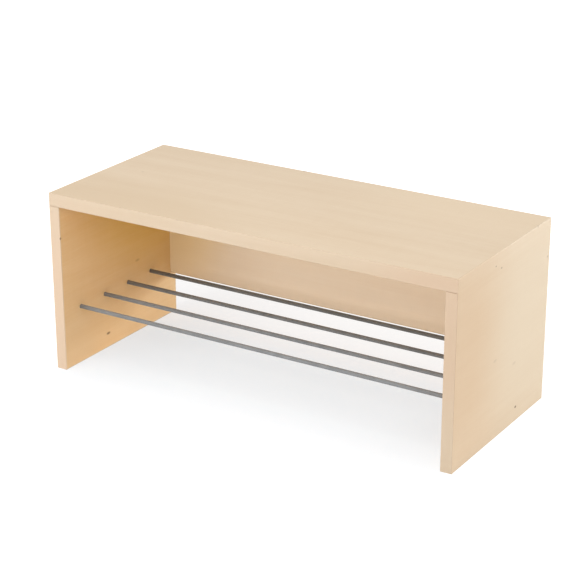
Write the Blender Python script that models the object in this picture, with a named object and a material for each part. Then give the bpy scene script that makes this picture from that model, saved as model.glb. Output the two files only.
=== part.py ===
"""Three-seat bench: a seat board on two side boards, with a back board and a rack of steel shoe rods.

Units are metres and +Z is up. The origin is on the floor, at the centre of the footprint.
+X runs along the bench, to the right as seen from the front, and the front faces -Y.
"""

import math

import bmesh
import bpy
from mathutils import Matrix, Vector

# Overall sizes
BENCH_LENGTH = 0.840
BENCH_DEPTH = 0.360
BENCH_HEIGHT = 0.350

# Boards
SEAT_THICKNESS = 0.025
SIDE_THICKNESS = 0.022
BACK_THICKNESS = 0.016
BACK_INSET = 0.002  # rear edge of the sides to the rear face of the back board
BACK_FLOOR_GAP = 0.088  # floor to the lower edge of the back board

# Edge bands that cover every edge in sight
BAND_THICKNESS = 0.002
EDGE_RADIUS = 0.001
EDGE_SEGMENTS = 3

# Shoe rods
ROD_COUNT = 4
ROD_DIAMETER = 0.008
ROD_CHAMFER = 0.0005
ROD_HEIGHT = 0.113  # floor to the axes of the rods
ROD_FRONT_MARGIN = 0.052  # front edge to the axis of the first rod
ROD_REAR_MARGIN = 0.067  # axis of the last rod to the back board

# Dowels
DOWEL_DIAMETER = 0.008
DOWEL_CHAMFER = 0.001
DOWEL_EDGE_DEPTH = 0.020  # reach of a dowel into the edge of a board
SEAT_SIDE_DOWELS = 3
SEAT_SIDE_DOWEL_MARGIN = 0.050  # front and rear edge to the nearest dowel
SEAT_BACK_DOWELS = 5
SEAT_BACK_DOWEL_MARGIN = 0.078  # end of the back board to the nearest dowel
SIDE_BACK_DOWELS = 3
SIDE_BACK_DOWEL_MARGIN = 0.030  # upper and lower edge of the back board to the nearest dowel

# Fits
FIT_GAP = 0.0003  # between pieces that touch, and all round a rod or dowel in its hole
HOLE_FLOOR = 0.010  # board left behind each hole in a face
HOLE_OVERSHOOT = 0.004  # reach of a cutter past the mouth of its hole
ROUND_SIDES = 24
SMOOTH_ANGLE = math.radians(30)

# Places that follow from the sizes
HALF_LENGTH = BENCH_LENGTH / 2
HALF_DEPTH = BENCH_DEPTH / 2
SEAT_UNDERSIDE = BENCH_HEIGHT - SEAT_THICKNESS
SIDE_TOP = SEAT_UNDERSIDE - FIT_GAP
SIDE_INNER = HALF_LENGTH - SIDE_THICKNESS
SIDE_MIDDLE = HALF_LENGTH - SIDE_THICKNESS / 2
BACK_END = SIDE_INNER - FIT_GAP
BACK_REAR = HALF_DEPTH - BACK_INSET
BACK_FRONT = BACK_REAR - BACK_THICKNESS
BACK_MIDDLE = BACK_REAR - BACK_THICKNESS / 2
BAND_ALLOWANCE = BAND_THICKNESS + FIT_GAP  # what a board gives up where it has a band
SEAT_HOLE_DEPTH = SEAT_THICKNESS - HOLE_FLOOR
SIDE_HOLE_DEPTH = SIDE_THICKNESS - HOLE_FLOOR

X_AXIS = Vector((1, 0, 0))
Z_AXIS = Vector((0, 0, 1))


def spread(low, high, count):
    """Evenly spaced places from low to high, both of them included."""
    return [low + (high - low) * i / (count - 1) for i in range(count)]


def clear_scene():
    for obj in list(bpy.data.objects):
        bpy.data.objects.remove(obj, do_unlink=True)


def make_material(name, colour, roughness, metallic=0.0):
    material = bpy.data.materials.new(name)
    material.use_nodes = True
    shader = material.node_tree.nodes["Principled BSDF"]
    shader.inputs["Base Color"].default_value = (*colour, 1.0)
    shader.inputs["Roughness"].default_value = roughness
    shader.inputs["Metallic"].default_value = metallic
    material.diffuse_color = (*colour, 1.0)
    return material


def add_object(name, shape, place, bench, material=None):
    """Object of a bmesh that is centred on its own origin, set at a place under the bench."""
    mesh = bpy.data.meshes.new(name)
    shape.to_mesh(mesh)
    shape.free()
    obj = bpy.data.objects.new(name, mesh)
    bpy.context.scene.collection.objects.link(obj)
    obj.location = place
    obj.parent = bench
    if material:
        mesh.materials.append(material)
    return obj


def block(low, high):
    """Block between two corners: its bmesh about its own centre, and that centre."""
    low = Vector(low)
    high = Vector(high)
    shape = bmesh.new()
    bmesh.ops.create_cube(shape, size=1.0, matrix=Matrix.Diagonal((*(high - low), 1.0)))
    return shape, (low + high) / 2


def add_board(name, low, high, bench, material):
    shape, centre = block(low, high)
    return add_object(name, shape, centre, bench, material)


def add_band(name, low, high, outward, square_ends, bench, material):
    """Edge band with a rounded outer face.

    outward is the way that the face looks, and square_ends holds the directions of the ends that
    butt against another piece, which stay sharp.
    """
    shape, centre = block(low, high)
    faces = {tuple(round(part) for part in face.normal): face for face in shape.faces}
    butted = {edge for end in square_ends for edge in faces[end].edges}
    rounded = [edge for edge in faces[outward].edges if edge not in butted]
    bmesh.ops.bevel(
        shape,
        geom=rounded,
        offset=EDGE_RADIUS,
        segments=EDGE_SEGMENTS,
        profile=0.5,
        affect="EDGES",
        clamp_overlap=True,
    )
    return add_object(name, shape, centre, bench, material)


def round_bar(length, diameter, chamfer):
    """Bar along Z about its own centre, with a chamfer round both ends."""
    shape = bmesh.new()
    bmesh.ops.create_cone(
        shape,
        cap_ends=True,
        segments=ROUND_SIDES,
        radius1=diameter / 2,
        radius2=diameter / 2,
        depth=length,
    )
    if chamfer:
        caps = [face for face in shape.faces if abs(face.normal.z) > 0.5]
        rims = [edge for cap in caps for edge in cap.edges]
        bmesh.ops.bevel(shape, geom=rims, offset=chamfer, segments=1, affect="EDGES")
    return shape


def add_bar(name, start, end, diameter, chamfer, bench, material):
    """Round bar from one point to another, along X, Y or Z."""
    start = Vector(start)
    run = Vector(end) - start
    shape = round_bar(run.length, diameter, chamfer)
    bar = add_object(name, shape, start + run / 2, bench, material)
    bar.rotation_euler = run.to_track_quat("Z", "Y").to_euler()
    bar.data.shade_smooth()
    bar.data.set_sharp_from_angle(angle=SMOOTH_ANGLE)
    return bar


def drill(board, mouth, direction, depth, diameter, bench):
    """Blind hole in a board for a bar, with the fit gap round the bar and past its end."""
    inward = Vector(direction)
    start = Vector(mouth) - inward * HOLE_OVERSHOOT
    end = Vector(mouth) + inward * (depth + FIT_GAP)
    count = len(board.modifiers) + 1
    cutter = add_bar(f"{board.name}_cutter_{count}", start, end, diameter + 2 * FIT_GAP, 0, bench, None)
    cutter.hide_render = True
    cutter.display_type = "WIRE"
    hole = board.modifiers.new(f"hole_{count}", "BOOLEAN")
    hole.operation = "DIFFERENCE"
    hole.solver = "EXACT"
    hole.object = cutter


def make_seat(bench, board, band):
    """Seat board with a band on all four edges. The long bands cover the ends of the short ones.

    The short bands stay sharp below, where they stand flush over the sides.
    """
    core_x = HALF_LENGTH - BAND_ALLOWANCE
    core_y = HALF_DEPTH - BAND_ALLOWANCE
    low_z = SEAT_UNDERSIDE
    high_z = BENCH_HEIGHT
    seat = add_board("seat_panel", (-core_x, -core_y, low_z), (core_x, core_y, high_z), bench, board)
    inner_y = HALF_DEPTH - BAND_THICKNESS
    for side, way in (("front", -1), ("back", 1)):
        near, far = sorted((way * inner_y, way * HALF_DEPTH))
        low = (-HALF_LENGTH, near, low_z)
        high = (HALF_LENGTH, far, high_z)
        add_band(f"seat_{side}_edge_band", low, high, (0, way, 0), (), bench, band)
    inner_x = HALF_LENGTH - BAND_THICKNESS
    for side, way in (("left", -1), ("right", 1)):
        near, far = sorted((way * inner_x, way * HALF_LENGTH))
        low = (near, -core_y, low_z)
        high = (far, core_y, high_z)
        butts = ((0, -1, 0), (0, 1, 0), (0, 0, -1))
        add_band(f"seat_{side}_edge_band", low, high, (way, 0, 0), butts, bench, band)
    return seat


def make_side(name, way, bench, board, band):
    """Side board with bands down its front and back edges and along its bottom edge."""
    near, far = sorted((way * SIDE_INNER, way * HALF_LENGTH))
    core_y = HALF_DEPTH - BAND_ALLOWANCE
    low = (near, -core_y, BAND_ALLOWANCE)
    high = (far, core_y, SIDE_TOP)
    side = add_board(f"{name}_side_panel", low, high, bench, board)
    inner_y = HALF_DEPTH - BAND_THICKNESS
    for edge, out in (("front", -1), ("back", 1)):
        near_y, far_y = sorted((out * inner_y, out * HALF_DEPTH))
        low = (near, near_y, 0)
        high = (far, far_y, SIDE_TOP)
        add_band(f"{name}_side_{edge}_edge_band", low, high, (0, out, 0), ((0, 0, 1),), bench, band)
    low = (near, -core_y, 0)
    high = (far, core_y, BAND_THICKNESS)
    butts = ((0, -1, 0), (0, 1, 0))
    add_band(f"{name}_side_bottom_edge_band", low, high, (0, 0, -1), butts, bench, band)
    return side


def make_back(bench, board, band):
    """Back board between the sides, up under the seat, with a band along its lower edge."""
    low = (-BACK_END, BACK_FRONT, BACK_FLOOR_GAP + BAND_ALLOWANCE)
    high = (BACK_END, BACK_REAR, SIDE_TOP)
    back = add_board("back_panel", low, high, bench, board)
    low = (-BACK_END, BACK_FRONT, BACK_FLOOR_GAP)
    high = (BACK_END, BACK_REAR, BACK_FLOOR_GAP + BAND_THICKNESS)
    butts = ((-1, 0, 0), (1, 0, 0))
    add_band("back_panel_bottom_edge_band", low, high, (0, 0, -1), butts, bench, band)
    return back


def make_rods(sides, bench, steel):
    """Shoe rods from side to side, each end in a blind socket in the side's inner face."""
    reach = SIDE_INNER + SIDE_HOLE_DEPTH
    places = spread(-HALF_DEPTH + ROD_FRONT_MARGIN, BACK_FRONT - ROD_REAR_MARGIN, ROD_COUNT)
    for number, y in enumerate(places, start=1):
        start = (-reach, y, ROD_HEIGHT)
        end = (reach, y, ROD_HEIGHT)
        add_bar(f"shoe_rod_{number}", start, end, ROD_DIAMETER, ROD_CHAMFER, bench, steel)
        for way, side in sides.items():
            mouth = (way * SIDE_INNER, y, ROD_HEIGHT)
            drill(side, mouth, way * X_AXIS, SIDE_HOLE_DEPTH, ROD_DIAMETER, bench)


def join_with_dowel(name, face_board, face_depth, edge_board, seam, direction, bench, beech):
    """Dowel across the seam of two boards: direction points out of the edge, into the face.

    seam is the place of the edge's surface. The face's surface lies one fit gap further on.
    """
    into_face = Vector(direction)
    face = Vector(seam) + into_face * FIT_GAP
    start = Vector(seam) - into_face * DOWEL_EDGE_DEPTH
    end = face + into_face * face_depth
    add_bar(name, start, end, DOWEL_DIAMETER, DOWEL_CHAMFER, bench, beech)
    drill(edge_board, seam, -into_face, DOWEL_EDGE_DEPTH, DOWEL_DIAMETER, bench)
    drill(face_board, face, into_face, face_depth, DOWEL_DIAMETER, bench)


def make_dowels(seat, sides, back, bench, beech):
    """Dowels that carry the seat on the sides and on the back board, and tie the back board in."""
    side_names = {-1: "left", 1: "right"}
    reach_y = HALF_DEPTH - SEAT_SIDE_DOWEL_MARGIN
    for way, side in sides.items():
        for number, y in enumerate(spread(-reach_y, reach_y, SEAT_SIDE_DOWELS), start=1):
            name = f"seat_to_{side_names[way]}_side_dowel_{number}"
            seam = (way * SIDE_MIDDLE, y, SIDE_TOP)
            join_with_dowel(name, seat, SEAT_HOLE_DEPTH, side, seam, Z_AXIS, bench, beech)

    reach_x = BACK_END - SEAT_BACK_DOWEL_MARGIN
    for number, x in enumerate(spread(-reach_x, reach_x, SEAT_BACK_DOWELS), start=1):
        name = f"seat_to_back_dowel_{number}"
        seam = (x, BACK_MIDDLE, SIDE_TOP)
        join_with_dowel(name, seat, SEAT_HOLE_DEPTH, back, seam, Z_AXIS, bench, beech)

    low_z = BACK_FLOOR_GAP + SIDE_BACK_DOWEL_MARGIN
    high_z = SEAT_UNDERSIDE - SIDE_BACK_DOWEL_MARGIN
    for way, side in sides.items():
        for number, z in enumerate(spread(low_z, high_z, SIDE_BACK_DOWELS), start=1):
            name = f"back_to_{side_names[way]}_side_dowel_{number}"
            seam = (way * BACK_END, BACK_MIDDLE, z)
            join_with_dowel(name, side, SIDE_HOLE_DEPTH, back, seam, way * X_AXIS, bench, beech)


def main():
    clear_scene()
    bench = bpy.data.objects.new("bench", None)
    bpy.context.scene.collection.objects.link(bench)
    board = make_material("birch_board", (0.78, 0.63, 0.46), 0.48)
    band = make_material("birch_edge_band", (0.80, 0.66, 0.49), 0.45)
    steel = make_material("satin_steel", (0.52, 0.51, 0.50), 0.32, metallic=1.0)
    beech = make_material("beech_dowel", (0.66, 0.47, 0.30), 0.65)

    seat = make_seat(bench, board, band)
    sides = {
        -1: make_side("left", -1, bench, board, band),
        1: make_side("right", 1, bench, board, band),
    }
    back = make_back(bench, board, band)
    make_rods(sides, bench, steel)
    make_dowels(seat, sides, back, bench, beech)


main()
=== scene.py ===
"""Looks of the three-seat bench: birch boards, steel shoe rods and beech dowels, in a white studio."""

import logging
import math
from dataclasses import dataclass, field
from enum import Enum

import bmesh
import bpy
from mathutils import Matrix, Vector


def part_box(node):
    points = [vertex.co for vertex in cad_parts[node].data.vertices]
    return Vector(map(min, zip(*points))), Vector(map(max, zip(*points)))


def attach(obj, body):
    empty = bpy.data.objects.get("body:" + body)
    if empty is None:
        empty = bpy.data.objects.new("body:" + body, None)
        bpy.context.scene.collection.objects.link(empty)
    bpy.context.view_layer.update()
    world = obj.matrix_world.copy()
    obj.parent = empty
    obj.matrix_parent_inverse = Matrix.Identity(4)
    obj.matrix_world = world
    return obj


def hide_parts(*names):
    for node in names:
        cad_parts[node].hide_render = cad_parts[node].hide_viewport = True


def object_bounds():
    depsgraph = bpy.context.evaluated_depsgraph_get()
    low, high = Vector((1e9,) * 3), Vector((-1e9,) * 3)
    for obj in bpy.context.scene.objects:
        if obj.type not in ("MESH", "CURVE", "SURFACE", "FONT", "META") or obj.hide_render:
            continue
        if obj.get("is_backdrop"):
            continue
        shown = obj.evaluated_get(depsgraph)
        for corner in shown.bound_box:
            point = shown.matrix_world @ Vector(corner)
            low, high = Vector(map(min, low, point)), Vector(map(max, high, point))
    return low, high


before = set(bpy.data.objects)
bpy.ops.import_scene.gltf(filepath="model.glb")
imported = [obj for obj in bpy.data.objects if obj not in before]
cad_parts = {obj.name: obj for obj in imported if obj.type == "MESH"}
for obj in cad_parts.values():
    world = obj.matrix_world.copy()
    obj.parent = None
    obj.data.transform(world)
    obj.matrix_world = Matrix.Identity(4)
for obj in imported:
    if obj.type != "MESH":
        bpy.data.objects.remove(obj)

LOG = logging.getLogger("bench")
BODY = "root"
SEAM = 0.00001  # gap between glued pieces
BAND_FACE = 0.0005  # depth that the tone of an edge band's face reaches
BAND_SHIFT = (0.37, 0.61, 0.83)  # step of the figure from one band finish to the next
SMOOTH_ANGLE = math.radians(40)
NOISE_RANGE = (0.3, 0.7)  # values that nearly all of a noise lies between
SPOT_CORE = 0.3  # share of a spot's radius that has its full depth

# The photograph's frame and the sensor that its view is measured on
IMAGE_WIDTH = 588
SENSOR_WIDTH = 36.0

Colour = tuple[float, float, float]
Point = tuple[float, float, float]
Socket = bpy.types.NodeSocket

BLACK: Colour = (0.0, 0.0, 0.0)
WHITE: Colour = (1.0, 1.0, 1.0)


class Facing(Enum):
    """Way that a face of the bench looks."""

    FRONT = (0, -1, 0)
    BACK = (0, 1, 0)
    LEFT = (-1, 0, 0)
    RIGHT = (1, 0, 0)
    TOP = (0, 0, 1)
    BOTTOM = (0, 0, -1)

    @property
    def axis(self) -> int:
        """Number of the axis that this way lies on."""
        return next(part for part in range(3) if self.value[part])

    @property
    def sign(self) -> int:
        """1 or -1 along that axis."""
        return self.value[self.axis]


class Grain(Enum):
    """Axis that the fibres of a piece follow."""

    LENGTH = 0
    DEPTH = 1
    UPRIGHT = 2

    def stretch(self, along: float, across: float) -> Point:
        """Scales of a pattern, one along the fibres and another across them.

        Args:
            along: scale on the fibres' own axis.
            across: scale on the other two axes.

        Returns:
            The scales on X, Y and Z.
        """
        scales = [across] * 3
        scales[self.value] = along
        return tuple(scales)


class Shader:
    """Material under construction, with short calls for the nodes that a finish needs."""

    def __init__(self, name: str) -> None:
        """Starts a material with a Principled shader and Object coordinates.

        Args:
            name: name of the material.
        """
        self.material = bpy.data.materials.new(name)
        self.material.use_nodes = True
        self.tree = self.material.node_tree
        self.surface = self.tree.nodes["Principled BSDF"]
        self.place = self.add("ShaderNodeTexCoord").outputs["Object"]

    def add(self, kind: str, **settings: object) -> bpy.types.Node:
        """Adds a node and sets its attributes.

        Args:
            kind: Blender's name of the node's type.
            settings: attributes of the node.

        Returns:
            The new node.
        """
        node = self.tree.nodes.new(kind)
        for key, value in settings.items():
            setattr(node, key, value)
        return node

    def feed(self, socket: Socket, value: object) -> None:
        """Links a socket to another one, or sets it to a plain value.

        Args:
            socket: the socket that is fed.
            value: another socket, or a plain value.
        """
        if isinstance(value, Socket):
            self.tree.links.new(value, socket)
        else:
            socket.default_value = value

    def mapped(self, scale: Point, shift: Point = (0, 0, 0)) -> Socket:
        """Object coordinates, scaled and then shifted.

        Args:
            scale: scale on each axis.
            shift: what is added on each axis.

        Returns:
            The mapped coordinates.
        """
        node = self.add("ShaderNodeMapping")
        self.feed(node.inputs["Vector"], self.place)
        node.inputs["Scale"].default_value = scale
        node.inputs["Location"].default_value = shift
        return node.outputs["Vector"]

    def coordinate(self, axis: int) -> Socket:
        """Object coordinate on one axis.

        Args:
            axis: number of the axis.

        Returns:
            The coordinate.
        """
        node = self.add("ShaderNodeSeparateXYZ")
        self.feed(node.inputs["Vector"], self.place)
        return node.outputs[axis]

    def noise(self, where: Socket, scale: float, detail: float, rough: float = 0.5) -> Socket:
        """Smooth noise from 0 to 1.

        Args:
            where: coordinates to read.
            scale: cells per unit.
            detail: octaves of finer noise.
            rough: strength of the finer octaves.

        Returns:
            The noise's value.
        """
        node = self.add("ShaderNodeTexNoise")
        self.feed(node.inputs["Vector"], where)
        node.inputs["Scale"].default_value = scale
        node.inputs["Detail"].default_value = detail
        node.inputs["Roughness"].default_value = rough
        return node.outputs["Fac"]

    def math(self, operation: str, first: object, second: object = 0.0) -> Socket:
        """One step of arithmetic.

        Args:
            operation: Blender's name of the step.
            first: a socket or a number.
            second: another socket or number.

        Returns:
            The step's result.
        """
        node = self.add("ShaderNodeMath", operation=operation)
        self.feed(node.inputs[0], first)
        self.feed(node.inputs[1], second)
        return node.outputs["Value"]

    def blend(self, shares: dict[Socket, float]) -> Socket:
        """Sum of several patterns.

        Args:
            shares: what each pattern is multiplied by.

        Returns:
            The sum.
        """
        total = 0.0
        for pattern, share in shares.items():
            total = self.math("ADD", self.math("MULTIPLY", pattern, share), total)
        return total

    def ranged(self, value: Socket, low: object, high: object, to_low: float, to_high: float,
               smooth: bool = False) -> Socket:
        """Maps a value from one range to another and clamps it there.

        Args:
            value: the value to map.
            low: start of the range that is read, a number or a socket.
            high: end of the range that is read, a number or a socket.
            to_low: result at the start.
            to_high: result at the end.
            smooth: whether the ends are eased.

        Returns:
            The mapped value.
        """
        node = self.add("ShaderNodeMapRange", interpolation_type="SMOOTHSTEP" if smooth else "LINEAR")
        for socket, number in zip(node.inputs, (value, low, high, to_low, to_high)):
            self.feed(socket, number)
        return node.outputs["Result"]

    def mixed(self, factor: Socket, first: object, second: object) -> Socket:
        """Blends two colours.

        Args:
            factor: share of the second colour.
            first: colour, or a socket of one, at a factor of 0.
            second: colour, or a socket of one, at a factor of 1.

        Returns:
            The blended colour.
        """
        node = self.add("ShaderNodeMix", data_type="RGBA")
        colours = [socket for socket in node.inputs if socket.type == "RGBA"]
        self.feed(node.inputs["Factor"], factor)
        for socket, colour in zip(colours, (first, second)):
            self.feed(socket, colour if isinstance(colour, Socket) else (*colour, 1.0))
        return next(socket for socket in node.outputs if socket.type == "RGBA")

    def bump(self, height: Socket, strength: float, distance: float) -> None:
        """Raises the surface by a pattern.

        Args:
            height: the pattern.
            strength: share of the relief that shows.
            distance: height of the relief.
        """
        node = self.add("ShaderNodeBump")
        node.inputs["Strength"].default_value = strength
        node.inputs["Distance"].default_value = distance
        self.feed(node.inputs["Height"], height)
        self.feed(self.surface.inputs["Normal"], node.outputs["Normal"])

    def set(self, **values: object) -> None:
        """Feeds the Principled shader's sockets, with _ for a space in their names."""
        for key, value in values.items():
            self.feed(self.surface.inputs[key.replace("_", " ")], value)


@dataclass(frozen=True)
class Pattern:
    """Noise with one scale along the fibres and another across them."""

    along: float
    across: float
    scale: float
    detail: float
    rough: float = 0.5

    def laid(self, shader: Shader, grain: Grain, shift: Point = (0, 0, 0)) -> Socket:
        """Lays the pattern on a piece.

        Args:
            shader: the material under construction.
            grain: way of the piece's fibres.
            shift: what is added to the coordinates, so that no two pieces look alike.

        Returns:
            The pattern's value.
        """
        where = shader.mapped(grain.stretch(self.along, self.across), shift)
        return shader.noise(where, self.scale, self.detail, self.rough)


BIRCH_FIBRE = Pattern(1.0, 34.0, 46.0, 4.0, 0.6)
BIRCH_CLOUD = Pattern(1.0, 9.0, 3.2, 3.0, 0.45)
BIRCH_STREAK = Pattern(1.0, 30.0, 7.0, 3.0, 0.55)
BIRCH_RIPPLE = Pattern(5.0, 1.0, 14.0, 2.0)
BIRCH_PORE = Pattern(1.0, 13.0, 170.0, 1.0)
DRAWN_LINE = Pattern(1.0, 160.0, 9.0, 3.0, 0.6)
BEECH_FIBRE = Pattern(1.0, 20.0, 90.0, 3.0, 0.6)
BEECH_FLECK = Pattern(1.0, 4.0, 420.0, 1.0)


@dataclass(frozen=True)
class Tone:
    """Lightest and darkest wood of a sheet of veneer."""

    light: Colour
    dark: Colour


@dataclass(frozen=True)
class Spot:
    """Pin knot, or soft patch of browner or paler colour, most patches being painted light and shade: a
    soft spot that may be longer along the fibres.
    """

    place: Point
    radius: float
    depth: float = 0.7  # share of its own colour in its middle
    stretch: float = 1.6
    colour: Colour = (0.16, 0.08, 0.035)


OUTER_BIRCH = Tone((0.778, 0.632, 0.460), (0.712, 0.547, 0.375))
# Painted shade: a darker, more orange copy of the wood for the faces that look into the bench
INNER_SHADED_BIRCH = Tone((0.866, 0.626, 0.363), (0.791, 0.524, 0.256))
# Painted light: a paler copy of the wood for the back board's face inside the bench
BACK_LIT_BIRCH = Tone((0.915, 0.800, 0.650), (0.860, 0.722, 0.565))
# Painted shade: a darker copy of the wood for the bands' front and back faces, against the strong front
# lamps
BAND_SHADED_BIRCH = Tone((0.654, 0.536, 0.414), (0.601, 0.478, 0.343))


@dataclass(frozen=True)
class Sheet:
    """Sheet of another tone on one side of a piece, from a plane outwards, with its own patches: painted
    light and shade.
    """

    tone: Tone
    facing: Facing
    plane: float
    patches: tuple[Spot, ...] = ()

    def mask(self, shader: Shader) -> Socket:
        """1 on this sheet, and 0 on the rest of the piece."""
        test = "GREATER_THAN" if self.facing.sign > 0 else "LESS_THAN"
        return shader.math(test, shader.coordinate(self.facing.axis), self.plane)


@dataclass(frozen=True)
class BirchFinish:
    """Birch veneer under a matt lacquer, with faint figure, soft patches, fibres, pores and pin knots."""

    name: str
    grain: Grain
    shift: Point
    tone: Tone = OUTER_BIRCH
    patches: tuple[Spot, ...] = ()
    knots: tuple[Spot, ...] = ()
    sheets: tuple[Sheet, ...] = ()
    pore_colour: Colour = (0.52, 0.36, 0.21)
    pore_range: tuple[float, float] = (0.66, 0.78)  # values at which a pore starts and is full
    pore_depth: float = 0.16
    roughness: tuple[float, float] = (0.43, 0.54)
    gloss: float = 0.25

    def material(self) -> bpy.types.Material:
        """Makes the veneer.

        Returns:
            The finished material.
        """
        shader = Shader(self.name)
        fibre = BIRCH_FIBRE.laid(shader, self.grain, self.shift)
        figure = self.figure(shader, fibre)
        colour = self.toned(shader, figure, self.tone, self.patches)
        # The sheets are painted light and shade: lighter and darker copies of the wood on some sides
        for sheet in self.sheets:
            other = self.toned(shader, figure, sheet.tone, sheet.patches)
            colour = shader.mixed(sheet.mask(shader), colour, other)
        colour = shader.mixed(self.pores(shader), colour, self.pore_colour)
        for knot in self.knots:
            colour = shader.mixed(self.fleck(shader, knot), colour, knot.colour)
        shader.set(
            Base_Color=colour,
            Roughness=shader.ranged(fibre, *NOISE_RANGE, *self.roughness),
            Specular_IOR_Level=self.gloss,
        )
        shader.bump(fibre, strength=0.07, distance=0.0003)
        return shader.material

    def toned(self, shader: Shader, figure: Socket, tone: Tone, patches: tuple[Spot, ...]) -> Socket:
        """Wood of one tone, with its patches.

        Args:
            shader: the material under construction.
            figure: the pattern of light and dark wood.
            tone: the lightest and the darkest wood.
            patches: the browner and paler patches.

        Returns:
            The wood's colour.
        """
        colour = shader.mixed(figure, tone.light, tone.dark)
        for patch in patches:
            colour = shader.mixed(self.fleck(shader, patch), colour, patch.colour)
        return colour

    def figure(self, shader: Shader, fibre: Socket) -> Socket:
        """Pattern of light and dark wood.

        Args:
            shader: the material under construction.
            fibre: the pattern of its fibres.

        Returns:
            0 in the lightest wood and 1 in the darkest.
        """
        cloud = BIRCH_CLOUD.laid(shader, self.grain, self.shift)
        streak = BIRCH_STREAK.laid(shader, self.grain, self.shift)
        ripple = BIRCH_RIPPLE.laid(shader, self.grain, self.shift)
        total = shader.blend({cloud: 0.46, streak: 0.26, fibre: 0.18, ripple: 0.10})
        return shader.ranged(total, *NOISE_RANGE, 0.0, 1.0)

    def pores(self, shader: Shader) -> Socket:
        """Mask of the short fine pores along the fibres."""
        dash = BIRCH_PORE.laid(shader, self.grain, self.shift)
        return shader.ranged(dash, *self.pore_range, 0.0, self.pore_depth)

    def fleck(self, shader: Shader, spot: Spot) -> Socket:
        """Mask of one knot or patch.

        Args:
            shader: the material under construction.
            spot: the knot or patch.

        Returns:
            The spot's depth in its middle, and 0 outside it.
        """
        scale = self.grain.stretch(1.0 / spot.stretch, 1.0)
        shift = tuple(-part * factor for part, factor in zip(spot.place, scale))
        reach = shader.add("ShaderNodeVectorMath", operation="LENGTH")
        shader.feed(reach.inputs[0], shader.mapped(scale, shift))
        core = spot.radius * SPOT_CORE
        return shader.ranged(reach.outputs["Value"], core, spot.radius, spot.depth, 0.0, True)


@dataclass(frozen=True)
class SteelFinish:
    """Satin drawn steel with fine lines along the rod, brighter at the front; the darker rear is painted
    shade under the seat.
    """

    name: str
    front: Colour = (0.380, 0.388, 0.394)
    rear: Colour = (0.298, 0.298, 0.290)
    between: tuple[float, float] = (-0.06, 0.10)  # depths between which the tone changes
    line_depth: float = 0.10
    cloud_scale: float = 38.0
    roughness: tuple[float, float] = (0.85, 0.95)

    def material(self) -> bpy.types.Material:
        """Makes the steel, with drawn lines in its tone and clouds in its gloss.

        Returns:
            The finished material.
        """
        shader = Shader(self.name)
        lines = DRAWN_LINE.laid(shader, Grain.LENGTH)
        clouds = shader.noise(shader.place, self.cloud_scale, detail=2.0)
        # Painted shade: the steel darkens towards the rear, where the rods lie under the seat
        behind = shader.ranged(shader.coordinate(1), *self.between, 0.0, 1.0)
        steel = shader.mixed(behind, self.front, self.rear)
        darkening = shader.ranged(lines, *NOISE_RANGE, self.line_depth, 0.0)
        shader.set(
            Base_Color=shader.mixed(darkening, steel, BLACK),
            Metallic=1.0,
            Roughness=shader.ranged(clouds, *NOISE_RANGE, *self.roughness),
        )
        shader.bump(lines, strength=0.03, distance=0.0001)
        return shader.material


@dataclass(frozen=True)
class BeechFinish:
    """Raw beech of the dowels, with its short dark ray flecks."""

    name: str
    grain: Grain
    light: Colour = (0.66, 0.47, 0.30)
    dark: Colour = (0.50, 0.32, 0.18)
    contrast: tuple[float, float] = (0.35, 0.68)  # values of the pattern that are all light and all dark
    roughness: float = 0.7

    def material(self) -> bpy.types.Material:
        """Makes the beech, with flecks along the fibres.

        Returns:
            The finished material.
        """
        shader = Shader(self.name)
        fibre = BEECH_FIBRE.laid(shader, self.grain)
        fleck = BEECH_FLECK.laid(shader, self.grain)
        tone = shader.ranged(shader.blend({fibre: 0.5, fleck: 0.5}), *self.contrast, 0.0, 1.0)
        shader.set(Base_Color=shader.mixed(tone, self.light, self.dark), Roughness=self.roughness)
        shader.bump(fibre, strength=0.1, distance=0.0002)
        return shader.material


def add_piece(name: str, shape: bmesh.types.BMesh, node: str) -> bpy.types.Object:
    """Makes a piece of a bmesh that already lies where the node does.

    Args:
        name: name of the piece.
        shape: its bmesh, which is freed.
        node: the node that it stands for.

    Returns:
        The new object.
    """
    bmesh.ops.recalc_face_normals(shape, faces=shape.faces)
    mesh = bpy.data.meshes.new(name)
    shape.to_mesh(mesh)
    shape.free()
    mesh.shade_smooth()
    mesh.set_sharp_from_angle(angle=SMOOTH_ANGLE)
    piece = bpy.data.objects.new(name, mesh)
    bpy.context.scene.collection.objects.link(piece)
    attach(piece, BODY)
    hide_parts(node)
    LOG.info("piece %s in place of %s", name, node)
    return piece


def paint(piece: bpy.types.Object, material: bpy.types.Material) -> None:
    """Gives a piece, or a node that stays in view, its finish.

    Args:
        piece: the piece or node.
        material: its finish.
    """
    piece.data.materials.clear()
    piece.data.materials.append(material)
    LOG.info("finish %s on %s", material.name, piece.name)


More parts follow.
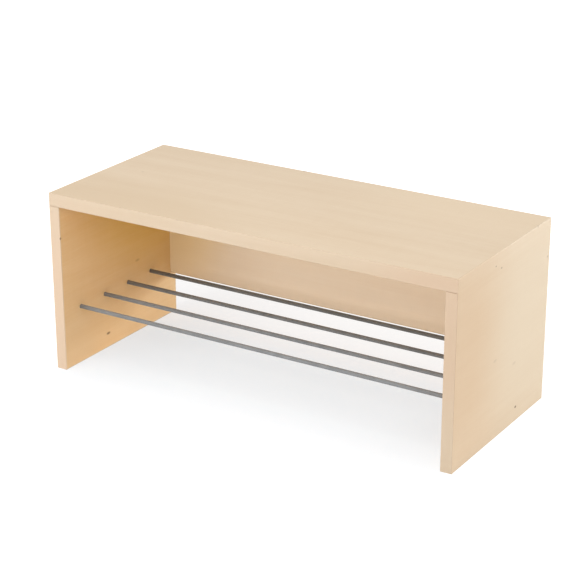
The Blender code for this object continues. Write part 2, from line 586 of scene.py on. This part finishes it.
@dataclass(frozen=True)
class EdgeBand:
    """Band glued on the edge of a board, with the edges of its face eased."""

    node: str
    board: str
    facing: Facing
    grain: Grain
    square_ends: tuple[Facing, ...]
    radius: float = 0.001
    segments: int = 6

    def build(self, low_limit: float | None = None) -> bpy.types.Object:
        """Models the band where its node lies, with its back drawn in to meet the board.

        Args:
            low_limit: height that the band is drawn down to, or None to leave its lower side.

        Returns:
            The new piece.
        """
        corners = list(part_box(self.node))
        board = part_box(self.board)
        axis = self.facing.axis
        outward = self.facing.sign > 0
        corners[0 if outward else 1][axis] = board[1 if outward else 0][axis] + self.facing.sign * SEAM
        if low_limit is not None:
            corners[0].z = low_limit
        low, high = corners
        shape = bmesh.new()
        size = Matrix.Diagonal((*(high - low), 1.0))
        bmesh.ops.create_cube(shape, size=1.0, matrix=Matrix.Translation((low + high) / 2) @ size)
        faces = {tuple(round(part) for part in face.normal): face for face in shape.faces}
        square = {edge for end in self.square_ends for edge in faces[end.value].edges}
        eased = [edge for edge in faces[self.facing.value].edges if edge not in square]
        bmesh.ops.bevel(shape, geom=eased, offset=self.radius, segments=self.segments, profile=0.5,
                        affect="EDGES", material=-1)
        return add_piece(f"{self.node}_eased", shape, self.node)


@dataclass
class BoardAssembly:
    """Board with its veneer, and the bands on its edges."""

    board: str
    shift: Point
    inward: Facing
    inside_painted_tone: Tone = INNER_SHADED_BIRCH
    grain: Grain = Grain.LENGTH
    knots: tuple[Spot, ...] = ()
    patches: tuple[Spot, ...] = ()
    inside_painted_patches: tuple[Spot, ...] = ()
    pieces: dict[str, bpy.types.Object] = field(default_factory=dict)

    def bands(self) -> list[EdgeBand]:
        """Bands on this board's edges."""
        raise NotImplementedError

    def finish(self) -> BirchFinish:
        """Veneer of this board, with another sheet, of painted light and shade, on the side that looks
        into the bench.

        Returns:
            The board's finish.
        """
        low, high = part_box(self.board)
        middle = (low + high)[self.inward.axis] / 2
        inner = Sheet(self.inside_painted_tone, self.inward, middle, self.inside_painted_patches)
        return BirchFinish(f"{self.board}_veneer", self.grain, self.shift,
                           patches=self.patches, knots=self.knots, sheets=(inner,))

    def build(self) -> None:
        """Models the bands."""
        for band in self.bands():
            self.pieces[band.node] = band.build()

    def dress(self, band_finishes: dict[Grain, bpy.types.Material]) -> None:
        """Puts the veneer on the board and the finish on its bands.

        Args:
            band_finishes: the bands' finish for each way of the fibres.
        """
        paint(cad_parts[self.board], self.finish().material())
        for band in self.bands():
            paint(self.pieces[band.node], band_finishes[band.grain])


@dataclass
class SeatAssembly(BoardAssembly):
    """Seat board, with a band on all four edges, drawn down onto the side boards."""

    support: str = "left_side_panel"

    def bands(self) -> list[EdgeBand]:
        """Long bands in front and behind, and short ones between them at the ends.

        Returns:
            The four bands.
        """
        ends = (Facing.FRONT, Facing.BACK, Facing.BOTTOM)
        return [
            EdgeBand("seat_front_edge_band", self.board, Facing.FRONT, Grain.LENGTH, ()),
            EdgeBand("seat_back_edge_band", self.board, Facing.BACK, Grain.LENGTH, ()),
            EdgeBand("seat_left_edge_band", self.board, Facing.LEFT, Grain.DEPTH, ends),
            EdgeBand("seat_right_edge_band", self.board, Facing.RIGHT, Grain.DEPTH, ends),
        ]

    def build(self) -> None:
        """Models the bands; those at the ends come down to the tops of the side boards."""
        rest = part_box(self.support)[1].z + SEAM
        for band in self.bands():
            at_end = band.facing in (Facing.LEFT, Facing.RIGHT)
            self.pieces[band.node] = band.build(rest if at_end else None)


@dataclass
class SideAssembly(BoardAssembly):
    """Side board, with bands on its front, back and bottom edges."""

    grain: Grain = Grain.DEPTH

    def bands(self) -> list[EdgeBand]:
        """Upright bands in front and behind, and one along the floor between them.

        Returns:
            The three bands.
        """
        stem = self.board.replace("_panel", "")
        top = (Facing.TOP,)
        ends = (Facing.FRONT, Facing.BACK)
        return [
            EdgeBand(f"{stem}_front_edge_band", self.board, Facing.FRONT, Grain.UPRIGHT, top),
            EdgeBand(f"{stem}_back_edge_band", self.board, Facing.BACK, Grain.UPRIGHT, top),
            EdgeBand(f"{stem}_bottom_edge_band", self.board, Facing.BOTTOM, Grain.DEPTH, ends),
        ]


@dataclass
class BackAssembly(BoardAssembly):
    """Back board, with a band on its lower edge."""

    def bands(self) -> list[EdgeBand]:
        """The one band below."""
        ends = (Facing.LEFT, Facing.RIGHT)
        return [EdgeBand("back_panel_bottom_edge_band", self.board, Facing.BOTTOM, Grain.LENGTH, ends)]


@dataclass(frozen=True)
class RoundBar:
    """Round bar in the place of a node, along its longest axis, with or without flutes."""

    node: str
    sides: int
    chamfer: float
    flute: float = 0.0

    def shape(self) -> bmesh.types.BMesh:
        """Models the bar: a disc, drawn out to its length, with its ends eased.

        Returns:
            The bar's bmesh, in place.
        """
        low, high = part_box(self.node)
        size = high - low
        axis = max(range(3), key=lambda part: size[part])
        length = size[axis]
        radius = min(size) / 2
        shape = bmesh.new()
        bmesh.ops.create_circle(shape, cap_ends=True, segments=self.sides, radius=radius)
        if self.flute:
            narrow = 1 - self.flute / radius
            bmesh.ops.scale(shape, vec=Vector((narrow, narrow, 1)), verts=list(shape.verts)[::2])
        drawn = bmesh.ops.extrude_face_region(shape, geom=list(shape.faces))
        tip = [part for part in drawn["geom"] if isinstance(part, bmesh.types.BMVert)]
        bmesh.ops.translate(shape, vec=Vector((0, 0, length)), verts=tip)
        rims = [edge for edge in shape.edges if edge.verts[0].co.z == edge.verts[1].co.z]
        bmesh.ops.bevel(shape, geom=rims, offset=self.chamfer, segments=2, profile=0.5,
                        affect="EDGES", material=-1)
        bmesh.ops.translate(shape, vec=Vector((0, 0, -length / 2)), verts=shape.verts)
        way = Vector([float(part == axis) for part in range(3)])
        turn = Vector((0, 0, 1)).rotation_difference(way).to_matrix().to_4x4()
        bmesh.ops.transform(shape, matrix=Matrix.Translation((low + high) / 2) @ turn, verts=shape.verts)
        return shape


@dataclass
class ShoeRack:
    """The steel rods that carry the shoes."""

    count: int = 4
    sides: int = 48
    chamfer: float = 0.0006
    finish: SteelFinish = SteelFinish("satin_steel_rod")
    pieces: list[bpy.types.Object] = field(default_factory=list)

    def build(self) -> None:
        """Models each rod."""
        for number in range(1, self.count + 1):
            node = f"shoe_rod_{number}"
            bar = RoundBar(node, self.sides, self.chamfer)
            self.pieces.append(add_piece(f"{node}_drawn_bar", bar.shape(), node))

    def dress(self) -> None:
        """Gives the rods their steel."""
        steel = self.finish.material()
        for piece in self.pieces:
            paint(piece, steel)


@dataclass
class DowelSet:
    """The fluted dowels inside the joints."""

    flutes: int = 20
    flute_depth: float = 0.00025
    chamfer: float = 0.0009
    pieces: dict[str, bpy.types.Object] = field(default_factory=dict)

    def build(self) -> None:
        """Models each dowel."""
        for node in sorted(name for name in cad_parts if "_dowel_" in name):
            bar = RoundBar(node, 2 * self.flutes, self.chamfer, self.flute_depth)
            self.pieces[node] = add_piece(f"{node}_fluted", bar.shape(), node)

    def dress(self) -> None:
        """Gives the dowels their beech, with the fibres along each one."""
        upright = BeechFinish("upright_beech", Grain.UPRIGHT).material()
        level = BeechFinish("level_beech", Grain.LENGTH).material()
        for node, piece in self.pieces.items():
            paint(piece, upright if node.startswith("seat") else level)


@dataclass
class PhotoCamera:
    """Camera at the photograph's viewing angle."""

    azimuth: float = 31.87  # degrees to the right of straight in front
    elevation: float = 21.50  # degrees above the floor
    distance: float = 3.2940
    slide: float = 0.00181  # how far the bench's centre lies right of the picture's
    lift: float = -0.00235  # how far it lies above it
    focal_pixels: float = 1798.3

    def build(self) -> None:
        """Adds the camera and makes it the scene's own."""
        low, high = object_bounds()
        centre = (Vector(low) + Vector(high)) / 2
        turn = math.radians(self.azimuth)
        tilt = math.radians(self.elevation)
        level = Vector((math.sin(turn), -math.cos(turn), 0))
        back = level * math.cos(tilt) + Vector((0, 0, math.sin(tilt)))
        right = Vector((math.cos(turn), math.sin(turn), 0))
        up = back.cross(right)
        data = bpy.data.cameras.new("photo_camera")
        data.sensor_width = SENSOR_WIDTH
        data.lens = self.focal_pixels / IMAGE_WIDTH * SENSOR_WIDTH
        camera = bpy.data.objects.new("photo_camera", data)
        bpy.context.scene.collection.objects.link(camera)
        camera.location = centre + back * self.distance - right * self.slide - up * self.lift
        camera.rotation_euler = (-back).to_track_quat("-Z", "Y").to_euler()
        bpy.context.scene.camera = camera


@dataclass(frozen=True)
class Softbox:
    """Studio lamp that faces the bench."""

    name: str
    place: Point
    width: float
    power: float
    colour: Colour = WHITE
    target: Point = (0.0, 0.0, 0.15)

    def build(self) -> None:
        """Adds the lamp."""
        data = bpy.data.lights.new(self.name, "AREA")
        data.shape = "SQUARE"
        data.size = self.width
        data.energy = self.power
        data.color = self.colour
        lamp = bpy.data.objects.new(self.name, data)
        bpy.context.scene.collection.objects.link(lamp)
        lamp.location = self.place
        aim = Vector(self.target) - Vector(self.place)
        lamp.rotation_euler = aim.to_track_quat("-Z", "Y").to_euler()


@dataclass(frozen=True)
class Shade:
    """Painted shade of the floor under and behind the bench, warmer to the rear and deeper to the left.
    """

    cool: Colour = (0.495, 0.544, 0.587)
    warm: Colour = (0.604, 0.596, 0.598)
    warming: tuple[float, float] = (0.05, 0.20)  # depths between which it turns warm
    fading: tuple[float, float] = (-0.42, -0.10)  # lengths between which it fades to the right
    faded: float = 0.92
    front: tuple[float, float] = (-0.60, -0.04)  # stretches where it comes or goes, on its four sides
    rear: tuple[float, float] = (0.25, 0.90)
    left: tuple[float, float] = (-0.44, -0.40)
    right: tuple[float, float] = (0.40, 0.44)
    back: float = 0.18  # depth past which it is drawn to the left
    spread: float = 0.9
    trail: float = 2.0  # how many times as far its left end is drawn

    def colour(self, shader: Shader) -> Socket:
        """Colour that the floor is seen in, white outside the shade.

        Args:
            shader: the floor's material.

        Returns:
            The colour.
        """
        warmth = shader.ranged(shader.coordinate(1), *self.warming, 0.0, 1.0, True)
        inside = shader.mixed(warmth, self.cool, self.warm)
        return shader.mixed(self.share(shader), WHITE, inside)

    def share(self, shader: Shader) -> Socket:
        """Share of shade at a place: most under the bench, less round it, drawn to the left at the rear.

        Args:
            shader: the floor's material.

        Returns:
            The share, from 0 to 1.
        """
        length = shader.coordinate(0)
        depth = shader.coordinate(1)
        behind = shader.math("MAXIMUM", shader.math("SUBTRACT", depth, self.back), 0.0)
        drawn = shader.math("MULTIPLY", behind, self.spread)
        share = shader.ranged(depth, *self.front, 0.0, 1.0, True)
        left_end = shader.math("SUBTRACT", self.left[0], shader.math("MULTIPLY", drawn, self.trail))
        left_full = shader.math("SUBTRACT", self.left[1], drawn)
        right_full = shader.math("SUBTRACT", self.right[0], drawn)
        for limit in (
            shader.ranged(depth, *self.rear, 1.0, 0.0, True),
            shader.ranged(length, *self.fading, 1.0, self.faded, True),
            shader.ranged(length, left_end, left_full, 0.0, 1.0, True),
            shader.ranged(length, right_full, self.right[1], 1.0, 0.0, True),
        ):
            share = shader.math("MULTIPLY", share, limit)
        return share


@dataclass
class Studio:
    """White floor and world, and soft lamps round the bench."""

    floor_size: float = 60.0
    ambient: float = 0.63
    floor_bounce: Colour = (0.90, 0.87, 0.82)
    floor_veil: Colour = (0.40, 0.40, 0.40)
    shade: Shade = Shade()
    lamps: tuple[Softbox, ...] = (
        Softbox("overhead_softbox", (0.0, -1.6, 2.8), 1.8, 31.0),
        Softbox("rear_softbox", (1.8, 2.8, 0.5), 1.0, 52.0, (0.98, 1.00, 1.03)),
        Softbox("key_softbox", (-1.2, -2.2, 0.7), 1.2, 13.5),
        Softbox("front_softbox", (0.2, -3.6, 1.0), 2.2, 6.8),
        Softbox("right_softbox", (1.6, -2.4, 2.0), 1.4, 11.8),
    )

    def seen(self, tree: bpy.types.NodeTree) -> Socket:
        """Mark of the rays that show the background: 1 straight on, in gloss or through glass, else 0.

        Args:
            tree: nodes of the world or of a material.

        Returns:
            The rays' mark.
        """
        path = tree.nodes.new("ShaderNodeLightPath")
        mark = path.outputs["Is Camera Ray"]
        for ray in ("Is Glossy Ray", "Is Transmission Ray"):
            either = tree.nodes.new("ShaderNodeMath")
            either.operation = "MAXIMUM"
            tree.links.new(mark, either.inputs[0])
            tree.links.new(path.outputs[ray], either.inputs[1])
            mark = either.outputs["Value"]
        return mark

    def build_world(self) -> None:
        """Makes the world white where it is seen, and a soft ambient light to the bench."""
        world = bpy.data.worlds.new("studio_world")
        world.use_nodes = True
        tree = world.node_tree
        background = tree.nodes["Background"]
        background.inputs["Color"].default_value = (*WHITE, 1.0)
        strength = tree.nodes.new("ShaderNodeMapRange")
        tree.links.new(self.seen(tree), strength.inputs["Value"])
        strength.inputs["To Min"].default_value = self.ambient
        strength.inputs["To Max"].default_value = 1.0
        tree.links.new(strength.outputs["Result"], background.inputs["Strength"])
        bpy.context.scene.world = world

    def floor_white(self) -> bpy.types.Material:
        """Makes the floor's finish: white where it is seen, with the shadow of the bench kept near it and
        a painted shade under and behind it.

        Returns:
            The finished material.
        """
        shader = Shader("studio_floor_white")
        shader.set(Base_Color=(*self.floor_bounce, 1.0), Roughness=1.0, Specular_IOR_Level=0.0)
        veil = shader.add("ShaderNodeBsdfDiffuse")
        shader.feed(veil.inputs["Color"], (*self.floor_veil, 1.0))
        # The glow is white outside and carries the painted shade under and behind the bench
        glow = shader.add("ShaderNodeEmission")
        shader.feed(glow.inputs["Color"], self.shade.colour(shader))
        shown = shader.add("ShaderNodeAddShader")
        shader.feed(shown.inputs[0], veil.outputs["BSDF"])
        shader.feed(shown.inputs[1], glow.outputs["Emission"])
        choice = shader.add("ShaderNodeMixShader")
        shader.feed(choice.inputs["Fac"], self.seen(shader.tree))
        shader.feed(choice.inputs[1], shader.surface.outputs["BSDF"])
        shader.feed(choice.inputs[2], shown.outputs["Shader"])
        shader.feed(shader.tree.nodes["Material Output"].inputs["Surface"], choice.outputs["Shader"])
        return shader.material

    def build_floor(self) -> None:
        """Lays the floor."""
        shape = bmesh.new()
        bmesh.ops.create_grid(shape, x_segments=1, y_segments=1, size=self.floor_size / 2)
        mesh = bpy.data.meshes.new("studio_floor")
        shape.to_mesh(mesh)
        shape.free()
        mesh.materials.append(self.floor_white())
        floor = bpy.data.objects.new("studio_floor", mesh)
        bpy.context.scene.collection.objects.link(floor)
        floor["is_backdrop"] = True

    def build(self) -> None:
        """Sets up the view, the world, the floor and the lamps."""
        bpy.context.scene.view_settings.view_transform = "Standard"
        self.build_world()
        self.build_floor()
        for lamp in self.lamps:
            lamp.build()


# Faces that the patches and knots lie on
LEFT_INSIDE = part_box("left_side_panel")[1].x
RIGHT_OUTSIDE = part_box("right_side_panel")[1].x
FRONT_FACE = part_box("seat_front_edge_band")[0].y
BACK_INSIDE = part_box("back_panel")[0].y
SEAT_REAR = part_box("seat_back_edge_band")[1].y
SEAT_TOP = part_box("seat_panel")[1].z

# Soft browner and paler patches, set by comparing colours with the photograph; most are painted light and
# shade
# Painted shade: the left board's inside turns darker and more orange at the top and back, under the seat
LEFT_CORNER_SHADE = Spot((LEFT_INSIDE, 0.130, 0.310), 0.24, 0.62, 1.3, (0.75, 0.47, 0.05))
# Part of the inside's painted shade: duller and less orange low at the front of the left board
LEFT_FOOT = Spot((LEFT_INSIDE, -0.170, 0.010), 0.13, 0.50, 1.0, (0.722, 0.522, 0.310))
# Painted shade and light: the right board's outside is browner at the front and paler at the rear, as the
# light falls
RIGHT_FRONT_SHADE = Spot((RIGHT_OUTSIDE, FRONT_FACE, 0.200), 0.265, 0.55, 1.0, (0.66, 0.46, 0.28))
RIGHT_REAR_LIGHT = Spot((RIGHT_OUTSIDE, 0.140, 0.170), 0.27, 0.60, 1.0, (0.745, 0.633, 0.475))
# A browner patch at the seat's front left and a paler one at its rear right
SEAT_BROWN_PATCH = Spot((-0.300, FRONT_FACE, SEAT_TOP), 0.19, 0.70, 2.0, (0.684, 0.523, 0.348))
SEAT_PALE_PATCH = Spot((0.320, SEAT_REAR, SEAT_TOP), 0.22, 0.60, 1.6, (0.800, 0.640, 0.453))
# Painted light: warm light bounced off the left board makes the back board's inside more orange at its
# left end
BACK_LEFT_BOUNCE = Spot((-0.400, BACK_INSIDE, 0.210), 0.18, 0.60, 1.0, (1.00, 0.79, 0.42))
# Painted shade and light: the bands' front faces are darker at the top right and paler low at the left,
# as the light falls
RIGHT_EDGE_SHADE = Spot((0.410, FRONT_FACE, 0.270), 0.22, 0.50, 1.0, (0.60, 0.424, 0.30))
LEFT_EDGE_LIGHT = Spot((-0.409, FRONT_FACE, 0.100), 0.30, 0.60, 1.0, (0.72, 0.530, 0.387))

# Pin knots where the photograph shows dark dots
SEAT_KNOTS = (
    Spot((RIGHT_OUTSIDE, 0.125, 0.349), 0.0030, 0.25),
    Spot((RIGHT_OUTSIDE, -0.040, 0.3277), 0.0019, 0.6),
    Spot((-0.348, 0.013, SEAT_TOP), 0.0030, 0.15, 2.0),
    Spot((-0.089, 0.1785, SEAT_TOP), 0.0030, 0.55, 2.4),
)
LEFT_KNOTS = (
    Spot((LEFT_INSIDE, -0.048, 0.0290), 0.0036, 0.85, 2.2),
    Spot((LEFT_INSIDE, 0.053, 0.149), 0.0040, 0.25, 2.4),
    Spot((LEFT_INSIDE, -0.179, 0.264), 0.0024),
)
RIGHT_KNOTS = (
    Spot((RIGHT_OUTSIDE, -0.018, 0.3181), 0.0021, 0.6),
    Spot((RIGHT_OUTSIDE, 0.065, 0.0280), 0.0030, 0.95),
    Spot((RIGHT_OUTSIDE, 0.172, 0.279), 0.0030, 0.3),
    Spot((RIGHT_OUTSIDE, -0.028, 0.151), 0.0040, 0.12, 2.4),
    Spot((RIGHT_OUTSIDE, 0.0505, 0.118), 0.0040, 0.12, 2.4),
)
BAND_KNOTS = {Grain.LENGTH: SEAT_KNOTS, Grain.DEPTH: SEAT_KNOTS, Grain.UPRIGHT: LEFT_KNOTS}
SEAT_PATCHES = (SEAT_BROWN_PATCH, SEAT_PALE_PATCH)
RIGHT_LIGHT_AND_SHADE = (RIGHT_FRONT_SHADE, RIGHT_REAR_LIGHT)
# The right board's painted light and shade runs on over the bands
BAND_PATCHES_LIGHT_AND_SHADE = {
    Grain.LENGTH: (*SEAT_PATCHES, *RIGHT_LIGHT_AND_SHADE),
    Grain.DEPTH: RIGHT_LIGHT_AND_SHADE,
    Grain.UPRIGHT: RIGHT_LIGHT_AND_SHADE,
}


def band_finishes() -> dict[Grain, bpy.types.Material]:
    """Makes the bands' finish for each way of the fibres.

    Returns:
        One material for each way.
    """
    low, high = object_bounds()
    # The bands' front and back faces take the darker copy of the wood, painted shade
    faces = (
        Sheet(BAND_SHADED_BIRCH, Facing.FRONT, low[1] + BAND_FACE, (RIGHT_EDGE_SHADE, LEFT_EDGE_LIGHT)),
        Sheet(BAND_SHADED_BIRCH, Facing.BACK, high[1] - BAND_FACE),
    )
    finishes = {}
    for number, grain in enumerate(Grain, start=1):
        shift = tuple(step * number for step in BAND_SHIFT)
        name = f"birch_band_{grain.name.lower()}"
        finish = BirchFinish(name, grain, shift, patches=BAND_PATCHES_LIGHT_AND_SHADE[grain],
                             knots=BAND_KNOTS[grain], sheets=faces)
        finishes[grain] = finish.material()
    return finishes


def main() -> None:
    """Builds the bench's looks and the studio."""
    logging.basicConfig(level=logging.INFO, format="%(message)s")
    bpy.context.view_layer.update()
    bands = band_finishes()
    boards = [
        SeatAssembly("seat_panel", (0.0, 0.0, 0.0), Facing.BOTTOM,
                     knots=SEAT_KNOTS, patches=SEAT_PATCHES),
        SideAssembly("left_side_panel", (0.6, 0.2, 1.4), Facing.RIGHT,
                     knots=LEFT_KNOTS, inside_painted_patches=(LEFT_CORNER_SHADE, LEFT_FOOT)),
        SideAssembly("right_side_panel", (1.9, 0.8, 0.3), Facing.LEFT,
                     knots=RIGHT_KNOTS, patches=RIGHT_LIGHT_AND_SHADE),
        BackAssembly("back_panel", (2.3, 1.1, 0.7), Facing.FRONT,
                     inside_painted_tone=BACK_LIT_BIRCH, inside_painted_patches=(BACK_LEFT_BOUNCE,)),
    ]
    for assembly in boards:
        assembly.build()
        assembly.dress(bands)
    for assembly in (ShoeRack(), DowelSet()):
        assembly.build()
        assembly.dress()
    Studio().build()
    PhotoCamera().build()


if __name__ == "__main__":
    main()
